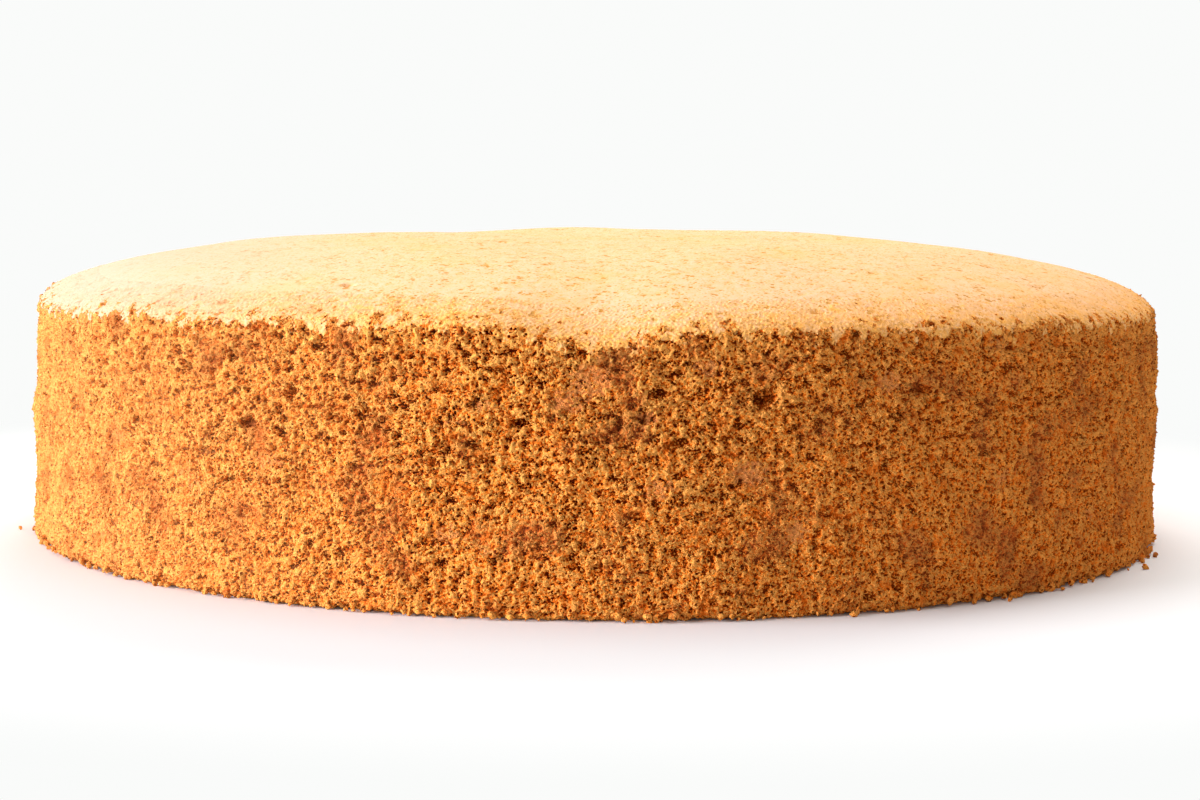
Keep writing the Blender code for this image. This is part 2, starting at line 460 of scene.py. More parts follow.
@dataclass
class FineMesh:
    """A square grid of faces that is moved into place and closed behind."""

    name: str
    material: bpy.types.Material
    rows: int
    columns: int
    map_shown: float = 0.97  # width of the shown faces in the flat map
    map_walls: Range = (0.98, 0.998)  # where the strip of the hidden walls starts and ends
    map_height: float = 1.002  # what the strip's height is divided by, to stay in the map
    map_lag: float = 0.0002  # how far a wall's inner corner stays back, so that no wall has zero area

    def build(
        self, places: np.ndarray, normals: np.ndarray, traces: dict[Trace, np.ndarray], flip: bool = False
    ) -> bpy.types.Object:
        """Makes the piece.

        Args:
            places: Where each grid point goes, as rows x columns x 3.
            normals: The surface's own normal at each.
            traces: The fields that the colours read, as rows x columns.
            flip: True where the grid's front would face inwards.

        Returns:
            The piece, not yet riding on a body.
        """
        grid = bmesh.new()
        bmesh.ops.create_grid(grid, x_segments=self.columns - 1, y_segments=self.rows - 1, size=1.0)
        walls = bmesh.ops.extrude_edge_only(grid, edges=[edge for edge in grid.edges if edge.is_boundary])
        inner = [part for part in walls["geom"] if isinstance(part, bmesh.types.BMVert)]
        bmesh.ops.pointmerge(grid, verts=inner, merge_co=HEART)
        if flip:
            bmesh.ops.reverse_faces(grid, faces=grid.faces)
        mesh = to_mesh(grid, self.name)
        row, column, closing = self.grid_places(mesh)
        self.unroll(mesh, row, column, closing)
        moved = places[row, column]
        moved[closing] = HEART
        mesh.vertices.foreach_set("co", moved.ravel())
        for trace, values in traces.items():
            layer = mesh.attributes.new(trace.value, "FLOAT", "POINT")
            layer.data.foreach_set("value", values[row, column].astype(np.float32))
        mesh.shade_smooth()
        mesh.normals_split_custom_set_from_vertices(normals[row, column].tolist())
        mesh.update()
        mesh.materials.append(self.material)
        return add_object(self.name, mesh)

    def grid_places(self, mesh: bpy.types.Mesh) -> tuple[np.ndarray, np.ndarray, np.ndarray]:
        """Finds each vertex in the grid, before it is moved.

        Args:
            mesh: The grid's mesh.

        Returns:
            Each vertex's row and column, and whether it is the closing point.
        """
        flat = np.empty(len(mesh.vertices) * 3)
        mesh.vertices.foreach_get("co", flat)
        flat = flat.reshape(-1, 3)
        column = np.rint((flat[:, 0] + 1.0) * 0.5 * (self.columns - 1)).astype(int)
        row = np.rint((flat[:, 1] + 1.0) * 0.5 * (self.rows - 1)).astype(int)
        closing = np.linalg.norm(flat - np.array(HEART), axis=1) < 1e-7
        return np.where(closing, 0, row), np.where(closing, 0, column), closing

    def unroll(
        self, mesh: bpy.types.Mesh, row: np.ndarray, column: np.ndarray, closing: np.ndarray
    ) -> None:
        """Maps the shown faces flat, and the hidden walls in a narrow strip beside them.

        Args:
            mesh: The piece's mesh.
            row: Each vertex's row in the grid.
            column: Its column.
            closing: True for the closing point.
        """
        loops = np.empty(len(mesh.loops), dtype=int)
        mesh.loops.foreach_get("vertex_index", loops)
        first = np.empty(len(mesh.polygons), dtype=int)
        mesh.polygons.foreach_get("loop_start", first)
        face = np.repeat(np.arange(len(first)), np.diff(np.append(first, len(loops))))
        tip = closing[loops]
        hidden = np.zeros(len(first), dtype=bool)
        hidden[face[tip]] = True
        wall = hidden[face]
        across, up = column[loops] / (self.columns - 1), row[loops] / (self.rows - 1)
        turn = np.arctan2(up - 0.5, across - 0.5) / math.tau + 0.5
        last = np.zeros(len(first))
        np.maximum.at(last, face[wall & ~tip], turn[wall & ~tip])
        turn = np.where(last[face] - turn > 0.5, turn + 1.0, turn)
        turn = np.where(tip, last[face] - self.map_lag, turn) / self.map_height
        start, end = self.map_walls
        u = np.where(wall, np.where(tip, end, start), across * self.map_shown)
        v = np.where(wall, turn, up)
        layer = mesh.uv_layers.new(name="OFBake")
        layer.data.foreach_set("uv", np.stack([u, np.clip(v, 0.0, 1.0)], axis=-1).ravel())


def surface_normals(places: np.ndarray, wraps: bool) -> np.ndarray:
    """Normals of a grid of places.

    Args:
        places: Rows x columns x 3, with columns to the right and rows upwards seen from outside.
        wraps: True where the last column meets the first.

    Returns:
        Unit normals, as rows x columns x 3.
    """
    if wraps:
        along = np.roll(places, -1, axis=1) - np.roll(places, 1, axis=1)
    else:
        along = np.gradient(places, axis=1)
    facing = np.cross(along, np.gradient(places, axis=0))
    return facing / np.maximum(np.linalg.norm(facing, axis=2, keepdims=True), 1e-12)


def square_to_disc(count: int) -> tuple[np.ndarray, np.ndarray]:
    """An even square grid drawn out to a unit disc.

    Args:
        count: Points along each side of the square.

    Returns:
        The points' x and y on the disc.
    """
    line = np.linspace(-1.0, 1.0, count)
    a, b = np.meshgrid(line, line)
    wide = np.abs(a) > np.abs(b)
    radius = np.where(wide, a, b)
    ratio = np.where(wide, b, a) / np.where(radius == 0.0, 1.0, radius)
    angle = np.where(wide, 0.25 * math.pi * ratio, 0.5 * math.pi - 0.25 * math.pi * ratio)
    return radius * np.cos(angle), radius * np.sin(angle)


# ------------------------------------------------------------------ the relief


@dataclass
class SkinRelief:
    """The baked skin of the top, in a flat sheet that is wrapped over top and shoulder."""

    reach: float = 0.118  # half the sheet's width
    seed: int = 31
    pores: Pits = Pits(34000, (0.22 * MM, 0.38 * MM), 0.10 * MM, (1.0, 1.4))
    pinholes: Pits = Pits(2200, (0.30 * MM, 0.55 * MM), 0.30 * MM, (1.0, 1.7))
    craters: Pits = Pits(70, (0.5 * MM, 1.1 * MM), 0.8 * MM, (1.0, 1.9))
    swell: Swell = Swell(0.010 * MM, 3.0 * MM, 0.6)
    grit: Swell = Swell(0.004 * MM, 0.8 * MM, 0.4)
    dark_depth: float = 0.19 * MM  # painted shade: a pit this much deeper is darker by the whole range of tones
    sheet: Sheet = field(init=False)
    height: np.ndarray = field(init=False)
    tone: np.ndarray = field(init=False)

    def __post_init__(self) -> None:
        """Draws the whole skin once."""
        count = 2 * int(self.reach / CELL)
        self.sheet = s = Sheet(count, count, CELL, self.seed)
        pits = np.maximum(s.pits(self.pores), s.pits(self.pinholes))
        pits = s.ragged(np.maximum(pits, s.pits(self.craters)), 0.2 * MM, 0.9 * MM)
        swell = s.swells(self.swell) + s.swells(self.grit)
        self.height = swell - np.abs(s.grain(9.0 * MM, 0.5)) * 0.02 * MM - pits
        # The tone paints shade into the pits, over a little random mottling.
        self.tone = np.clip(0.62 - pits / self.dark_depth + 0.05 * s.grain(3.0 * MM, 0.6), 0.0, 1.0)

    def read(self, run: np.ndarray, turn: np.ndarray) -> tuple[np.ndarray, np.ndarray]:
        """The skin's relief.

        Args:
            run: Distances from the middle of the top, along the surface.
            turn: Turns round the cake.

        Returns:
            Heights over the mean surface, and tones from 0 in a pore to 1, the pores darkened with painted
            shade.
        """
        column = run * np.sin(turn) / CELL + self.sheet.columns / 2
        row = -run * np.cos(turn) / CELL + self.sheet.rows / 2
        return self.sheet.read(self.height, row, column), self.sheet.read(self.tone, row, column)


@dataclass
class CrumbRelief:
    """The torn, open crumb of the side, as heights over the mean surface."""

    sheet: Sheet
    fine: Pits = Pits(30000, (0.19 * MM, 0.38 * MM), 0.60 * MM, (1.0, 1.5))
    medium: Pits = Pits(7500, (0.22 * MM, 0.54 * MM), 0.95 * MM, (1.0, 2.2))
    slits: Pits = Pits(1000, (0.22 * MM, 0.42 * MM), 0.85 * MM, (2.5, 6.0))
    large: Pits = Pits(170, (0.55 * MM, 1.1 * MM), 1.7 * MM, (1.3, 2.6))
    domes: Pits = Pits(220000, (0.20 * MM, 0.38 * MM), 1.0, (1.0, 1.3))
    dome: float = 0.38 * MM  # height of the largest dome
    swell: Swell = Swell(0.07 * MM, 4.5 * MM, 0.6, 1.3)
    lump: Swell = Swell(0.07 * MM, 1.5 * MM, 0.4)
    grit: Swell = Swell(0.08 * MM, 0.7 * MM, 0.3)
    ridge: Swell = Swell(0.09 * MM, 7.0 * MM, 0.5, 0.35)

    def field(self, openness: np.ndarray, cavities: np.ndarray) -> np.ndarray:
        """The crumb's relief.

        Args:
            openness: How open the crumb is at each point, 1 where it is usual.
            cavities: The depth of the large cavities.

        Returns:
            Heights over the mean surface.
        """
        s = self.sheet
        fine, medium, slits, large, domes = (
            s.pits(kind) for kind in (self.fine, self.medium, self.slits, self.large, self.domes)
        )
        holes = np.maximum(np.maximum(medium, slits), large) * openness
        holes = np.maximum(np.maximum(holes, fine), s.ragged(cavities, 0.5 * MM, 1.3 * MM))
        holes, domes = s.ragged(holes, 0.20 * MM, 0.75 * MM), s.ragged(domes, 0.16 * MM, 0.5 * MM)
        relief = s.swells(self.swell) + s.swells(self.lump)
        relief += s.swells(self.grit) + self.dome * domes * openness
        return relief + s.swells(self.ridge) - holes


# ------------------------------------------------------------------ materials


@dataclass
class Bench:
    """The node tree of a material or the world, with short calls for the nodes that are used."""

    owner: bpy.types.Material | bpy.types.World

    def __post_init__(self) -> None:
        """Gives the owner its nodes."""
        self.owner.use_nodes = True

    @property
    def tree(self) -> bpy.types.NodeTree:
        """The owner's node tree."""
        return self.owner.node_tree

    def feed(self, socket: Socket, value: object) -> None:
        """Links a socket to another, or sets it to a value.

        Args:
            socket: The socket.
            value: A node's output, or a number, a vector or a colour.
        """
        if isinstance(value, bpy.types.NodeSocket):
            self.tree.links.new(value, socket)
        elif socket.type == "RGBA":
            socket.default_value = (*value, 1.0)
        else:
            socket.default_value = value

    def node(self, kind: str, inputs: dict[str | int, object], **settings: object) -> bpy.types.Node:
        """Adds a node.

        Args:
            kind: Its type, without the ShaderNode in front.
            inputs: What its sockets are fed with.
            **settings: Its own settings.

        Returns:
            The node.
        """
        node = self.tree.nodes.new(f"ShaderNode{kind}")
        for setting, value in settings.items():
            setattr(node, setting, value)
        for socket, value in inputs.items():
            self.feed(node.inputs[socket], value)
        return node

    def dress(self, inputs: dict[str, object]) -> None:
        """Feeds the material's shader."""
        for socket, value in inputs.items():
            self.feed(self.tree.nodes["Principled BSDF"].inputs[socket], value)

    def trace(self, trace: Trace) -> Socket:
        """The value that the surface remembers."""
        return self.node("Attribute", {}, attribute_name=trace.value).outputs["Fac"]

    def place(self) -> Socket:
        """The point's place in the object."""
        return self.node("TexCoord", {}).outputs["Object"]

    def sideways(self) -> Socket:
        """How far the point lies to the right of the middle."""
        return self.node("SeparateXYZ", {0: self.place()}).outputs["X"]

    def grain(self, length: float, detail: float = 2.0, roughness: float = 0.5) -> Socket:
        """Random mottling, from 0 to 1, with finer layers of a given number and strength."""
        inputs = {"Vector": self.place(), "Scale": 1.0 / length, "Detail": detail, "Roughness": roughness}
        return self.node("TexNoise", inputs).outputs["Fac"]

    def wandering(self, length: float, shift: float) -> Socket:
        """The point's place, pulled about so that what is drawn on it turns out ragged.

        Args:
            length: Distance between one pull and the next.
            shift: How far the strongest pull reaches.

        Returns:
            The pulled place.
        """
        pull = self.node("TexNoise", {"Vector": self.place(), "Scale": 1.0 / length}).outputs["Color"]
        inputs = {0: pull, 1: (shift, shift, shift), 2: self.place()}
        return self.node("VectorMath", inputs, operation="MULTIPLY_ADD").outputs[0]

    def bubbles(self, spacing: float, place: Socket) -> Socket:
        """Distance from the nearest of many scattered middles, in spacings."""
        return self.node("TexVoronoi", {"Vector": place, "Scale": 1.0 / spacing}).outputs["Distance"]

    def math(self, operation: str, first: object, second: object) -> Socket:
        """One step of arithmetic on two values."""
        return self.node("Math", {0: first, 1: second}, operation=operation).outputs[0]

    def times(self, first: object, second: object) -> Socket:
        """Two values multiplied."""
        return self.math("MULTIPLY", first, second)

    def weigh(self, base: object, *parts: tuple[object, float]) -> Socket:
        """A sum of values, each times its own weight.

        Args:
            base: What the sum starts from.
            *parts: The values with their weights.

        Returns:
            The sum.
        """
        total = base
        for value, weight in parts:
            total = self.node("Math", {0: value, 1: weight, 2: total}, operation="MULTIPLY_ADD").outputs[0]
        return total

    def span(self, value: object, low: float, high: float) -> Socket:
        """0 at low and before it, 1 at high and past it, and a smooth change between."""
        inputs = {"Value": value, "From Min": low, "From Max": high}
        return self.node("MapRange", inputs, interpolation_type="SMOOTHSTEP").outputs["Result"]

    def ramp(self, value: object, stops: Sequence[tuple[float, Colour]]) -> Socket:
        """A colour for each value from 0 to 1.

        Args:
            value: The value.
            stops: The values at which a colour is pure, rising, with their colours.

        Returns:
            The colour.
        """
        node = self.node("ValToRGB", {"Fac": value})
        elements = node.color_ramp.elements
        while len(elements) < len(stops):
            elements.new(0.5)
        for element, (position, colour) in zip(elements, stops):
            element.position = position
            element.color = (*colour, 1.0)
        return node.outputs["Color"]

    def blend(self, share: object, first: object, second: object) -> Socket:
        """Two colours mixed, with a share of the second."""
        inputs = {"Factor": share, "A": first, "B": second}
        return self.node("Mix", inputs, data_type="RGBA").outputs["Result"]

    def mix_values(self, share: object, first: object, second: object) -> Socket:
        """Two values mixed, with a share of the second."""
        return self.node("Mix", {"Factor": share, "A": first, "B": second}).outputs["Result"]

    def bump(self, height: object, depth: float, strength: float = 1.0) -> Socket:
        """A surface normal roughened by a height."""
        inputs = {"Strength": strength, "Distance": depth, "Height": height}
        return self.node("Bump", inputs).outputs["Normal"]


@dataclass(frozen=True)
class CrumbFinish:
    """Open crumb: orange-brown between pits darkened with painted shade, lighter on the crests, and
    pressed patches, with painted light paling it to the left.
    """

    # The deep and dark colours paint shade into the pits.
    deep: Colour = (0.08, 0.006, 0.0004)
    dark: Colour = (0.31, 0.033, 0.0015)
    body: Colour = (0.75, 0.142, 0.009)
    light: Colour = (0.93, 0.222, 0.019)
    crest: Colour = (0.99, 0.320, 0.038)
    tip: Colour = (0.99, 0.44, 0.095)
    rust: Colour = (0.86, 0.165, 0.009)
    cocoa: Colour = (0.46, 0.112, 0.030)
    smear: Colour = (0.80, 0.29, 0.085)
    # Painted light: the paler crumb to the left, where the window light falls strongest.
    painted_lit_crumb: Colour = (0.96, 0.42, 0.130)

    def height(self, bench: Bench) -> Socket:
        """The crumb's finest relief, of bubbles and grit.

        Args:
            bench: The material's bench.

        Returns:
            Heights from 0 to about 1.
        """
        place = bench.wandering(0.5 * MM, 0.45 * MM)
        clump = bench.span(bench.bubbles(0.56 * MM, place), 0.55, 0.20)
        gap = bench.span(bench.bubbles(0.85 * MM, place), 0.37, 0.20)
        grit = bench.grain(0.28 * MM, 2.0, 0.6)
        return bench.weigh(-0.44, (clump, 0.78), (gap, -0.70), (grit, 1.45))

    def colour(self, bench: Bench, height: Socket) -> Socket:
        """The crumb's colour.

        Args:
            bench: The material's bench.
            height: The finest relief.

        Returns:
            The colour, rustier to the right, and paler to the left, where light is painted on it.
        """
        # Pits and the gaps between clumps get darker tones: painted shade.
        tone = bench.weigh(-0.62, (bench.trace(Trace.RELIEF), 1.32), (height, 1.62))
        stops = (
            (0.0, self.deep), (0.18, self.dark), (0.40, self.body),
            (0.60, self.light), (0.80, self.crest), (1.0, self.tip),
        )
        crumb = bench.ramp(tone, stops)
        rusty = bench.span(bench.grain(3.2 * MM, 2.0), 0.54, 0.70)
        right = bench.span(bench.sideways(), -0.02, 0.08)
        rusty = bench.times(rusty, bench.weigh(0.50, (right, 0.25)))
        crumb = bench.blend(bench.math("MAXIMUM", rusty, bench.times(right, 0.28)), crumb, self.rust)
        # Painted light: the left side, towards the window light, is blended paler.
        left = bench.times(bench.span(bench.sideways(), -0.01, -0.105), 0.42)
        crumb = bench.blend(left, crumb, self.painted_lit_crumb)
        brown = bench.span(bench.grain(9.0 * MM, 4.0), 0.50, 0.70)
        crumb = bench.blend(bench.times(brown, 0.55), crumb, self.cocoa)
        return bench.blend(bench.times(bench.trace(Trace.SMEAR), 0.7), crumb, self.smear)


@dataclass(frozen=True)
class SkinFinish:
    """Baked skin: pale tan, with brown pinholes darkened by painted shade, golden patches, and painted
    light to the left.
    """

    # The hole colour paints shade into the pinholes and craters.
    hole: Colour = (0.54, 0.245, 0.050)
    tan: Colour = (0.80, 0.400, 0.120)
    pale: Colour = (0.83, 0.468, 0.220)
    cream: Colour = (0.85, 0.535, 0.345)
    # Painted light: the greyer skin to the left, where the window light washes it out.
    painted_lit_skin: Colour = (0.73, 0.445, 0.350)
    gold: Colour = (0.95, 0.445, 0.105)

    def height(self, bench: Bench) -> Socket:
        """The skin's finest relief, of pinholes, craters and grit.

        Args:
            bench: The material's bench.

        Returns:
            Heights from 0 to about 1.
        """
        place = bench.wandering(0.7 * MM, 0.3 * MM)
        pinhole = bench.span(bench.bubbles(0.72 * MM, place), 0.36, 0.20)
        spread = bench.weigh(0.0, (bench.bubbles(1.5 * MM, place), 1.0), (bench.grain(4.0 * MM, 3.0), 1.1))
        crater = bench.span(spread, 0.76, 0.63)
        speckle = bench.grain(0.36 * MM, 3.0, 0.65)
        return bench.weigh(0.02, (pinhole, -0.42), (crater, -0.9), (speckle, 1.0))

    def colour(self, bench: Bench, height: Socket) -> Socket:
        """The skin's colour.

        Args:
            bench: The material's bench.
            height: The finest relief.

        Returns:
            The colour, more golden where the skin is worn, and paler and greyer to the left, where light
            is painted on it.
        """
        relief = bench.trace(Trace.RELIEF)
        mottle = bench.grain(2.0 * MM, 4.0, 0.65)
        worn = bench.math("SUBTRACT", 1.0, bench.span(bench.trace(Trace.SKIN), 0.5, 1.0))
        rough = bench.times(worn, bench.math("SUBTRACT", bench.grain(0.7 * MM, 3.0, 0.65), 0.52))
        # Pinholes and craters get darker tones: painted shade.
        tone = bench.weigh(-1.17, (relief, 0.75), (height, 1.4), (mottle, 1.4), (rough, 2.6))
        stops = ((0.0, self.hole), (0.22, self.tan), (0.48, self.pale), (1.0, self.cream))
        skin = bench.ramp(tone, stops)
        patches = bench.span(bench.grain(24.0 * MM, 4.0, 0.6), 0.46, 0.72)
        skin = bench.blend(bench.times(patches, 0.35), skin, self.gold)
        fleck = bench.weigh(0.0, (mottle, 1.0), (worn, 0.13))
        fleck = bench.weigh(0.0, (bench.span(fleck, 0.57, 0.70), 0.45), (worn, 0.6))
        skin = bench.blend(fleck, skin, self.gold)
        # Painted light: the left side, towards the window light, is blended greyer.
        left = bench.span(bench.sideways(), -0.02, -0.11)
        return bench.blend(bench.times(left, 0.7), skin, self.painted_lit_skin)


@dataclass(frozen=True)
class CakeFinish:
    """The whole cake's one material: crumb below the torn line and skin above it."""

    name: str = "sponge_crumb_and_skin"
    crumb: CrumbFinish = CrumbFinish()
    skin: SkinFinish = SkinFinish()
    roughness: float = 0.95
    gloss: float = 0.02
    relief: float = 0.30 * MM
    worn_relief: float = 0.45  # the skin's own relief at the torn line, as a share of the crumb's
    whole_relief: float = 0.13  # and where it is whole

    def make(self) -> bpy.types.Material:
        """Builds the material.

        Returns:
            The material.
        """
        material = bpy.data.materials.new(self.name)
        bench = Bench(material)
        torn = bench.weigh(-0.55, (bench.grain(0.9 * MM, 3.0, 0.6), 0.75), (bench.grain(3.5 * MM), 0.35))
        is_skin = bench.span(bench.math("ADD", bench.trace(Trace.SKIN), torn), 0.48, 0.57)
        firm = bench.span(bench.trace(Trace.SKIN), 0.5, 1.0)
        crumb, skin = self.crumb.height(bench), self.skin.height(bench)
        flatter = bench.times(skin, bench.mix_values(firm, self.worn_relief, self.whole_relief))
        colours = self.crumb.colour(bench, crumb), self.skin.colour(bench, skin)
        bench.dress({
            "Base Color": bench.blend(is_skin, *colours),
            "Normal": bench.bump(bench.mix_values(is_skin, crumb, flatter), self.relief),
            "Roughness": self.roughness,
            "Specular IOR Level": self.gloss,
        })
        return material


@dataclass(frozen=True)
class BaseFinish:
    """The baked base: an even brown crust with fine pores and paler blisters."""

    name: str = "sponge_base_crust"
    pore: Colour = (0.20, 0.060, 0.015)
    crust: Colour = (0.47, 0.180, 0.048)
    blister: Colour = (0.66, 0.33, 0.115)
    roughness: float = 0.8
    gloss: float = 0.3
    relief: float = 0.15 * MM

    def make(self) -> bpy.types.Material:
        """Builds the material.

        Returns:
            The material.
        """
        material = bpy.data.materials.new(self.name)
        bench = Bench(material)
        stops = ((0.28, self.pore), (0.42, self.crust), (0.75, self.blister))
        crust = bench.ramp(bench.grain(1.6 * MM, 4.0, 0.65), stops)
        patches = bench.span(bench.grain(26.0 * MM, 3.0), 0.42, 0.7)
        bench.dress({
            "Base Color": bench.blend(bench.times(patches, 0.4), crust, self.blister),
            "Normal": bench.bump(bench.grain(0.5 * MM, 3.0), self.relief, 0.6),
            "Roughness": self.roughness,
            "Specular IOR Level": self.gloss,
        })
        return material


# ------------------------------------------------------------------ the cake


@dataclass
class CrumbSide:
    """The side of the cake, from under its foot to over its shoulder, in sectors."""

    guide: SolidGuide
    skin: SkinRelief
    material: bpy.types.Material
    top_radius: float = 0.0965
    dome_arc: float = 1.004  # the arc from the middle of the top to there, as a share of that radius
    seed: int = 11
    wander: tuple[Swell, ...] = (  # how the torn line strays
        Swell(0.80 * MM, 5.0 * MM), Swell(0.38 * MM, 2.0 * MM), Swell(0.32 * MM, 0.8 * MM)
    )
    skin_lift: float = 0.10 * MM  # how far the skin stands over the crumb
    skin_edge: float = 0.08 * MM  # half the width of the step between them
    worn_rim: float = 7.0 * MM  # how far above its torn line the skin is worn
    foot_open: float = 0.50  # how open the crumb is at the foot
    patch_open: float = 0.20  # how much that changes from patch to patch
    risen_open: float = 0.55  # how much more open it is higher up
    risen: Range = (0.012, 0.034)  # the heights at which that starts, and is full
    torn_open: float = 0.30  # how much more open it is right under the skin
    open_band: float = 7.0 * MM  # and down to where
    undercut: float = 0.55 * MM  # how deep the crumb is torn out right under the skin
    undercut_band: Range = (0.3 * MM, 1.5 * MM)  # how far under the line that starts to fade, and ends
    coarse: float = 1.3 * MM  # relief that is coarser doesn't change the tone
    mean_tone: float = 0.60
    tone_depth: float = 0.75 * MM  # painted shade: relief this much deeper is darker by the whole range of tones
    shade: float = 0.7  # painted shade: how much darker the deep pits are again
    shaded: Range = (0.55 * MM, 1.05 * MM)  # the depths at which that starts, and is full
    foot_light: float = 0.12  # how much lighter the foot is, and up to where
    foot_band: float = 3.5 * MM
    painted_rim_light: float = 0.17  # painted light: how much lighter the crumb is under the skin, where light from above falls on it
    rim_band: Range = (0.5 * MM, 5.0 * MM)  # how far under the line that starts to fade, and ends
    cavity_depth: float = 1.5  # of a named cavity, in halves of its own tallness
    pressed: Pits = Pits(60, (1.0 * MM, 2.6 * MM), 1.0, (1.0, 1.9))
    pressed_depth: float = 2.0 / (3.0 * MM)  # a named patch 3 mm tall or more is pressed quite shut
    flattened: float = 0.7  # how much of its relief the crumb loses there
    skin_rough: float = 0.10  # the worn skin's own unevenness, in millimetres
    dip: float = 0.4 * MM  # how far the hidden edge is tucked in
    tuck: float = 1.5 * MM  # over what length
    thin_above: float = SKIN_LINE_HEIGHT + 2.2 * MM  # the skin is modelled less finely from here up
    places: np.ndarray = field(init=False)
    traces: dict[Trace, np.ndarray] = field(init=False)
    run_to_edge: float = field(init=False)

    def __post_init__(self) -> None:
        """Works out the whole fine side before it is cut in sectors."""
        base, along = self.guide.side(self.top_radius)
        sheet = Sheet(ROWS, COLUMNS, CELL, self.seed)
        flat, height = np.hypot(base[..., 0], base[..., 1]), base[..., 2]
        self.run_to_edge = float(flat[-1].mean()) * self.dome_arc
        run = np.broadcast_to((self.run_to_edge + along[-1] - along)[:, None], flat.shape)
        over = self.over_the_line(sheet, height)
        mask = smooth_step(-self.skin_edge, self.skin_edge, over)
        smear = self.smears(sheet, height)
        crumb = self.crumb(sheet, height, over) * (1.0 - self.flattened * smear)
        skin, skin_tone = self.skin.read(run, np.broadcast_to(TURNS, flat.shape))
        worn = 1.0 - np.clip(over / self.worn_rim, 0.0, 1.0)
        rough = sheet.grain(0.8 * MM, 0.35)
        skin = skin + (0.3 + 0.7 * worn) * self.skin_rough * MM * rough
        skin_tone = skin_tone + 0.10 * worn * rough
        relief = crumb * (1.0 - mask) + (skin + self.skin_lift) * mask
        hidden = smooth_step(0.0, 1.0, (self.top_radius + self.tuck - flat) / self.tuck)
        relief -= self.dip * hidden * (height > SKIN_LINE_HEIGHT)
        self.places = base + surface_normals(base, wraps=True) * relief[..., None]
        self.places[..., 2] = np.maximum(self.places[..., 2], 0.0)
        self.traces = {
            Trace.RELIEF: self.crumb_tone(sheet, crumb, height, over) * (1.0 - mask) + skin_tone * mask,
            Trace.SKIN: mask * (1.0 - 0.5 * worn),
            Trace.SMEAR: smear * (1.0 - mask),
        }
        self.thin_rows(height.mean(axis=1))

    def thin_rows(self, level: np.ndarray) -> None:
        """Keeps every row of the crumb and every second row of the skin well above it.

        Args:
            level: Each row's height.
        """
        kept = (level < self.thin_above) | ((ROWS - 1 - np.arange(ROWS)) % 2 == 0)
        self.places = self.places[kept]
        self.traces = {trace: values[kept] for trace, values in self.traces.items()}

    def over_the_line(self, sheet: Sheet, height: np.ndarray) -> np.ndarray:
        """How far each point lies over the torn line: above 0 is skin.

        Args:
            sheet: The side's own sheet.
            height: Height of each point.

        Returns:
            The distances.
        """
        over = height - skin_line(TURNS)
        for kind in self.wander:
            over += sheet.swells(kind)
        return over

    def spots(
        self, sheet: Sheet, height: np.ndarray, marks: Sequence[tuple[float, ...]], depth: float
    ) -> np.ndarray:
        """Bowls at the named places on the front.

        Args:
            sheet: The side's own sheet.
            height: Height of each point.
            marks: The places, as turn, height, width and tallness.
            depth: Depth of a bowl, in halves of its own tallness.

        Returns:
            The depth at each point.
        """
        turn, level, wide, tall = np.array(marks).T
        rising = int(np.argmax(height.mean(axis=1)))
        row = np.interp(level * MM, height.mean(axis=1)[:rising], np.arange(rising))
        column = (turn / 360.0 * COLUMNS) % COLUMNS
        return sheet.bowls(row, column, tall * MM / 2, wide * MM / 2, depth * tall * MM / 2)

    def crumb(self, sheet: Sheet, height: np.ndarray, over: np.ndarray) -> np.ndarray:
        """The crumb's relief, more open and deeper towards the skin.

        Args:
            sheet: The side's own sheet.
            height: Height of each point.
            over: How far it lies over the torn line.

        Returns:
            Heights over the mean surface.
        """
        cavities = self.spots(sheet, height, CAVITIES, self.cavity_depth)
        openness = self.foot_open + self.patch_open * sheet.grain(11.0 * MM, 0.6)
        openness = openness + self.risen_open * smooth_step(*self.risen, height)
        openness += self.torn_open * (1.0 - smooth_step(0.0, self.open_band, -over))
        torn_out = smooth_step(0.0, 0.9, sheet.grain(3.0 * MM, 0.5))
        torn_out = (1.0 - smooth_step(*self.undercut_band, -over)) * torn_out
        relief = CrumbRelief(sheet).field(np.clip(openness, 0.35, 1.5), cavities)
        return relief - self.undercut * torn_out

    def crumb_tone(
        self, sheet: Sheet, crumb: np.ndarray, height: np.ndarray, over: np.ndarray
    ) -> np.ndarray:
        """How light the crumb is: darkest in its pits, with painted shade, lighter at its foot, and
        lighter under the skin with painted light.

        Args:
            sheet: The side's own sheet.
            crumb: The crumb's relief.
            height: Height of each point.
            over: How far it lies over the torn line.

        Returns:
            Tones from 0 to 1.
        """
        shown = crumb - sheet.soften(crumb, self.coarse)
        # The deep pits are darkened again: painted shade.
        tone = self.mean_tone + shown / self.tone_depth - self.shade * smooth_step(*self.shaded, -crumb)
        tone += self.foot_light * (1.0 - smooth_step(0.0, self.foot_band, height))
        # Painted light: the crumb under the skin is lighter, where light from above falls on it.
        tone += self.painted_rim_light * (1.0 - smooth_step(*self.rim_band, -over))
        return np.clip(tone, 0.0, 1.0)

    def smears(self, sheet: Sheet, height: np.ndarray) -> np.ndarray:
        """Patches where the crumb was pressed shut.

        Args:
            sheet: The side's own sheet.
            height: Height of each point.

        Returns:
            1 in the middle of a patch, and 0 away from it.
        """
        pressed = sheet.pits(self.pressed)
        placed = self.spots(sheet, height, PRESSED, self.pressed_depth)
        pressed = np.maximum(pressed, np.clip(placed, 0.0, 1.0))
        broken = 0.5 * sheet.grain(1.6 * MM, 0.5) * (pressed > 0.0)
        return smooth_step(0.25, 0.9, sheet.ragged(pressed, 0.6 * MM, 2.0 * MM) + broken)

